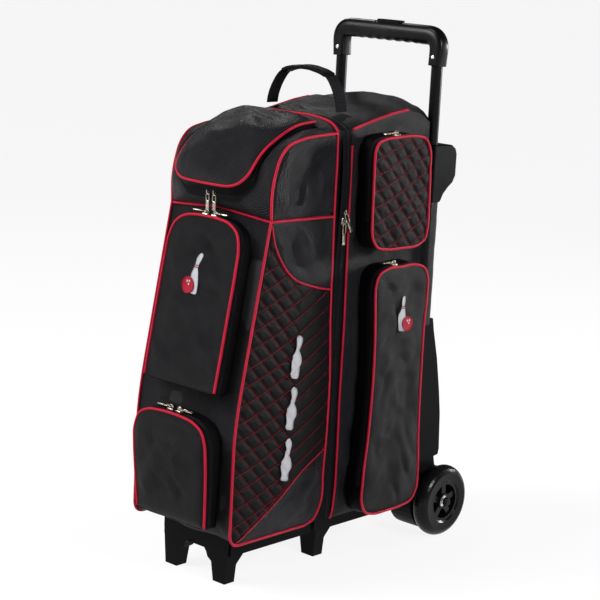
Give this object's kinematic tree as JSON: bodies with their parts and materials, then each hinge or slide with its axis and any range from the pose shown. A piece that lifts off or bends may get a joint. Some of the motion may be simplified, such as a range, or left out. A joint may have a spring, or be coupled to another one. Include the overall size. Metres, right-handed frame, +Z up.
{
  "type": "roller bowling ball bag",
  "caption": "Upright roller bag for bowling balls: split fabric body with zip, padded pockets, top lid, moulded legs, wheels and telescopic tow handle.",
  "frame": {"origin": "middle of the bag's box on the floor", "axes": "+Z up, X along the wheel axle, -Y towards the front pockets, +Y towards the wheels and tow handle"},
  "size_m": [0.3076, 0.6146, 0.917],
  "materials": {
    "black_twill": "ballistic twill",
    "quilted_fabric": "quilted padding",
    "zip_gusset": "plain weave gusset",
    "red_piping": "smooth covered cord",
    "red_thread": "sewing thread",
    "zip_coil": "nylon coil",
    "webbing": "woven webbing",
    "foam": "lined foam",
    "board": "stiffening sheet",
    "moulded_plastic": "fine texture",
    "grip_plastic": "satin",
    "tyre": "smooth urethane",
    "hub": "gloss",
    "black_tube": "satin black",
    "steel": "plain",
    "antique_nickel": "antique nickel",
    "emblem": "embroidered patch"
  },
  "bodies": {
    "carcass": {"rear_shell": "black_twill", "back_board": "board", "rear_lower_shelf": "foam", "rear_upper_shelf": "foam", "rear_lower_cup": "foam", "rear_upper_cup": "foam", "rear_base": "moulded_plastic", "rear_housing": "moulded_plastic", "axle": "steel", "left_axle_cap": "grip_plastic", "right_axle_cap": "grip_plastic", "left_outer_tube": "steel", "right_outer_tube": "steel", "left_tube_sleeve": "black_twill", "right_tube_sleeve": "black_twill", "upper_guard": "moulded_plastic", "left_upper_pocket": "zip_gusset", "left_lower_pocket": "zip_gusset", "right_upper_pocket": "zip_gusset", "right_lower_pocket": "zip_gusset"},
    "left_wheel": {"left_tyre": "tyre", "left_hub": "hub", "left_bearing": "steel"},
    "right_wheel": {"right_tyre": "tyre", "right_hub": "hub", "right_bearing": "steel"},
    "tow_handle": {"handle_grip": "grip_plastic", "left_inner_tube": "black_tube", "right_inner_tube": "black_tube", "left_grip_rivet": "steel", "right_grip_rivet": "steel"},
    "handle_release": {"release_button": "moulded_plastic", "left_release_rod": "steel", "right_release_rod": "steel"},
    "front_half": {"front_shell": "black_twill", "front_shelf": "foam", "front_lower_cup": "foam", "front_upper_cup": "foam", "front_base": "moulded_plastic", "front_long_pocket": "zip_gusset", "front_lower_pocket": "zip_gusset"},
    "top_lid": {"top_lid": "black_twill"},
    "front_long_flap": {"front_long_flap": "black_twill"},
    "front_lower_flap": {"front_lower_flap": "black_twill"},
    "left_upper_flap": {"left_upper_flap": "quilted_fabric"},
    "left_lower_flap": {"left_lower_flap": "black_twill"},
    "right_upper_flap": {"right_upper_flap": "quilted_fabric"},
    "right_lower_flap": {"right_lower_flap": "black_twill"},
    "upper_slider": {"upper_slider": "antique_nickel"},
    "lower_slider": {"lower_slider": "antique_nickel"},
    "upper_pull": {"upper_pull": "antique_nickel"},
    "lower_pull": {"lower_pull": "antique_nickel"},
    "lid_left_slider": {"lid_left_slider": "antique_nickel"},
    "lid_right_slider": {"lid_right_slider": "antique_nickel"},
    "lid_left_pull": {"lid_left_pull": "antique_nickel"},
    "lid_right_pull": {"lid_right_pull": "antique_nickel"},
    "carry_handle": {"carry_handle": "webbing"}
  },
  "joints": [
    {"name": "left_wheel_spin", "type": "hinge", "parent": "carcass", "child": "left_wheel", "pos_m": [-0.132, 0.2423, 0.065], "axis": [1, 0, 0], "continuous": true},
    {"name": "right_wheel_spin", "type": "hinge", "parent": "carcass", "child": "right_wheel", "pos_m": [0.132, 0.2423, 0.065], "axis": [1, 0, 0], "continuous": true},
    {"name": "tow_handle_slide", "type": "slide", "parent": "carcass", "child": "tow_handle", "axis": [0, 0, 1], "range_m": [0, 0.18]},
    {"name": "handle_release_press", "type": "slide", "parent": "tow_handle", "child": "handle_release", "axis": [0, 0, -1], "range_m": [0, 0.004], "stiffness_N_per_m": 500, "springref_m": -0.01},
    {"name": "front_half_door", "type": "hinge", "parent": "carcass", "child": "front_half", "pos_m": [-0.1155, -0.0417, 0.084], "axis": [0, 0, -1], "range_deg": [0, 90]},
    {"name": "top_lid_hinge", "type": "hinge", "parent": "front_half", "child": "top_lid", "pos_m": [0, -0.0942, 0.768], "axis": [-1, 0, 0], "range_deg": [0, 95]},
    {"name": "front_long_flap_hinge", "type": "hinge", "parent": "front_half", "child": "front_long_flap", "pos_m": [0, -0.28638, 0.33241], "axis": [1, 0, 0], "range_deg": [0, 85]},
    {"name": "front_lower_flap_hinge", "type": "hinge", "parent": "front_half", "child": "front_lower_flap", "pos_m": [0, -0.2973, 0.1095], "axis": [1, 0, 0], "range_deg": [0, 90]},
    {"name": "left_upper_flap_hinge", "type": "hinge", "parent": "carcass", "child": "left_upper_flap", "pos_m": [-0.1441, 0.0628, 0.549], "axis": [0, -1, 0], "range_deg": [0, 90]},
    {"name": "left_lower_flap_hinge", "type": "hinge", "parent": "carcass", "child": "left_lower_flap", "pos_m": [-0.1441, 0.0628, 0.087], "axis": [0, -1, 0], "range_deg": [0, 90]},
    {"name": "right_upper_flap_hinge", "type": "hinge", "parent": "carcass", "child": "right_upper_flap", "pos_m": [0.1441, 0.0628, 0.549], "axis": [0, 1, 0], "range_deg": [0, 90]},
    {"name": "right_lower_flap_hinge", "type": "hinge", "parent": "carcass", "child": "right_lower_flap", "pos_m": [0.1441, 0.0628, 0.087], "axis": [0, 1, 0], "range_deg": [0, 90]},
    {"name": "upper_slider_run", "type": "slide", "parent": "carcass", "child": "upper_slider", "axis": [0, 0, 1], "range_m": [0, 0.115]},
    {"name": "lower_slider_run", "type": "slide", "parent": "carcass", "child": "lower_slider", "axis": [0, 0, 1], "range_m": [-0.485, 0]},
    {"name": "upper_pull_swing", "type": "hinge", "parent": "upper_slider", "child": "upper_pull", "pos_m": [0.1203, -0.0467, 0.615], "axis": [0, -0.8829, -0.4695], "range_deg": [0, 100]},
    {"name": "lower_pull_swing", "type": "hinge", "parent": "lower_slider", "child": "lower_pull", "pos_m": [0.1203, -0.0467, 0.599], "axis": [0, -1, 0], "range_deg": [0, 100]},
    {"name": "lid_left_slider_run", "type": "slide", "parent": "front_half", "child": "lid_left_slider", "axis": [1, 0, 0], "range_m": [-0.045, 0]},
    {"name": "lid_right_slider_run", "type": "slide", "parent": "front_half", "child": "lid_right_slider", "axis": [1, 0, 0], "range_m": [0, 0.045]},
    {"name": "lid_left_pull_swing", "type": "hinge", "parent": "lid_left_slider", "child": "lid_left_pull", "pos_m": [-0.0075, -0.2385, 0.646], "axis": [-1, 0, 0], "range_deg": [0, 100]},
    {"name": "lid_right_pull_swing", "type": "hinge", "parent": "lid_right_slider", "child": "lid_right_pull", "pos_m": [0.0075, -0.2385, 0.646], "axis": [-1, 0, 0], "range_deg": [0, 100]},
    {"name": "carry_handle_flop", "type": "hinge", "parent": "carcass", "child": "carry_handle", "pos_m": [0, -0.0237, 0.77], "axis": [1, 0, 0], "range_deg": [-20, 20]}
  ]
}
